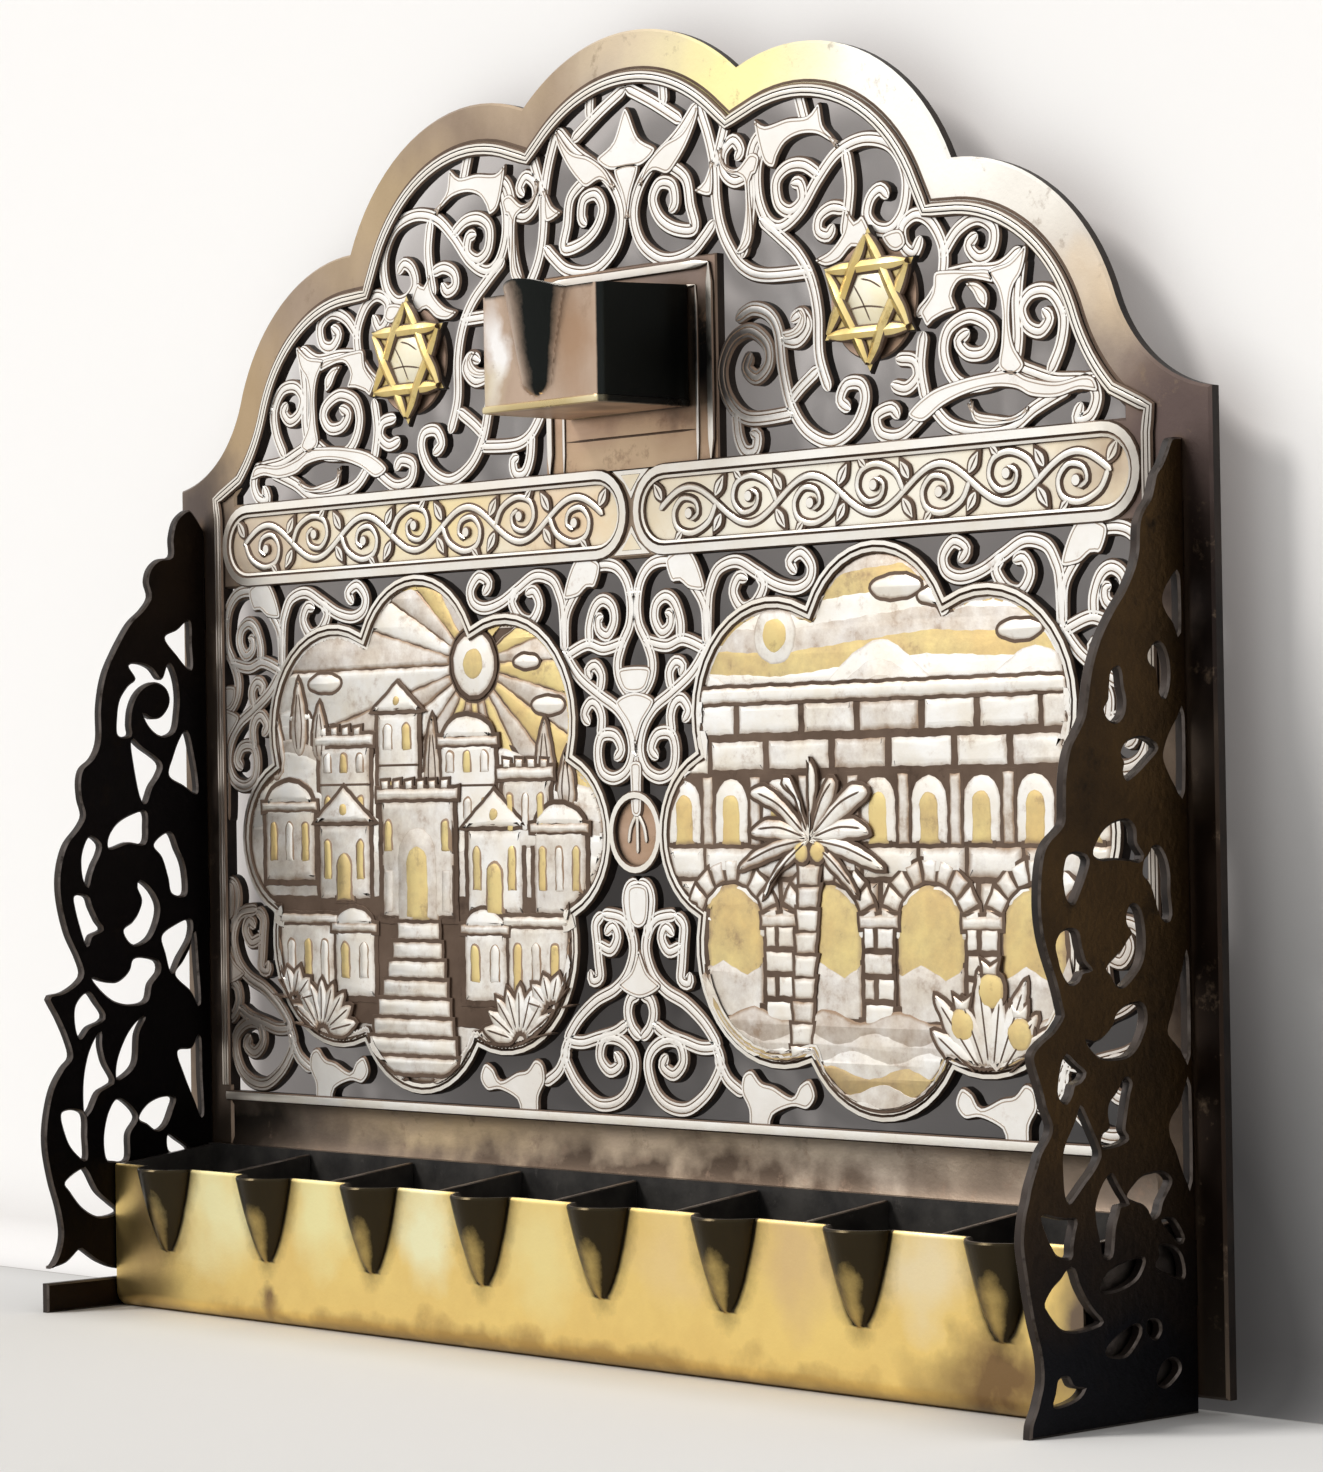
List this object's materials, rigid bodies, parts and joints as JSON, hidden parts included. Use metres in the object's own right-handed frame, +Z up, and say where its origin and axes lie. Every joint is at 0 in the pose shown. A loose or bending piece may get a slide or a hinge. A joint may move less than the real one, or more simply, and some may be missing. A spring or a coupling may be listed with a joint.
{
  "type": "hanukkah menorah",
  "caption": "Pierced brass oil-lamp menorah: lobed openwork backplate with two medallions, side panels, a trough of spouted wells and a raised servant cup.",
  "frame": {"origin": "on the ground, at the middle of the whole lamp's width and depth", "axes": "+Z up, -Y towards the viewer (the side of the wells), +X to the viewer's right"},
  "size_m": [0.23, 0.0374, 0.201],
  "materials": {
    "plate_brass": "satin cast brass, worn, with a pinkish-brown patina",
    "panel_brass": "dark pitted patina",
    "trough_brass": "satin, brighter, with olive-dark spouts",
    "sooty_brass": "matt, sooty",
    "cup_brass": "satin, brown-pink, sooty spout",
    "star_brass": "yellow satin",
    "plaque_brass": "pale worn relief, darker in the hollows",
    "gilt_brass": "golden satin"
  },
  "bodies": {
    "root": {"backplate": "plate_brass", "side_panel_left": "panel_brass", "side_panel_right": "panel_brass", "oil_trough": "trough_brass", "servant_cup": "cup_brass", "star_left": "star_brass", "star_right": "star_brass", "medallion_left": "plaque_brass", "medallion_right": "plaque_brass", "band_plaque_left": "gilt_brass", "band_plaque_right": "gilt_brass", "well_divider_1": "sooty_brass", "well_divider_2": "sooty_brass", "well_divider_3": "sooty_brass", "well_divider_4": "sooty_brass", "well_divider_5": "sooty_brass", "well_divider_6": "sooty_brass", "well_divider_7": "sooty_brass"}
  },
  "joints": []
}
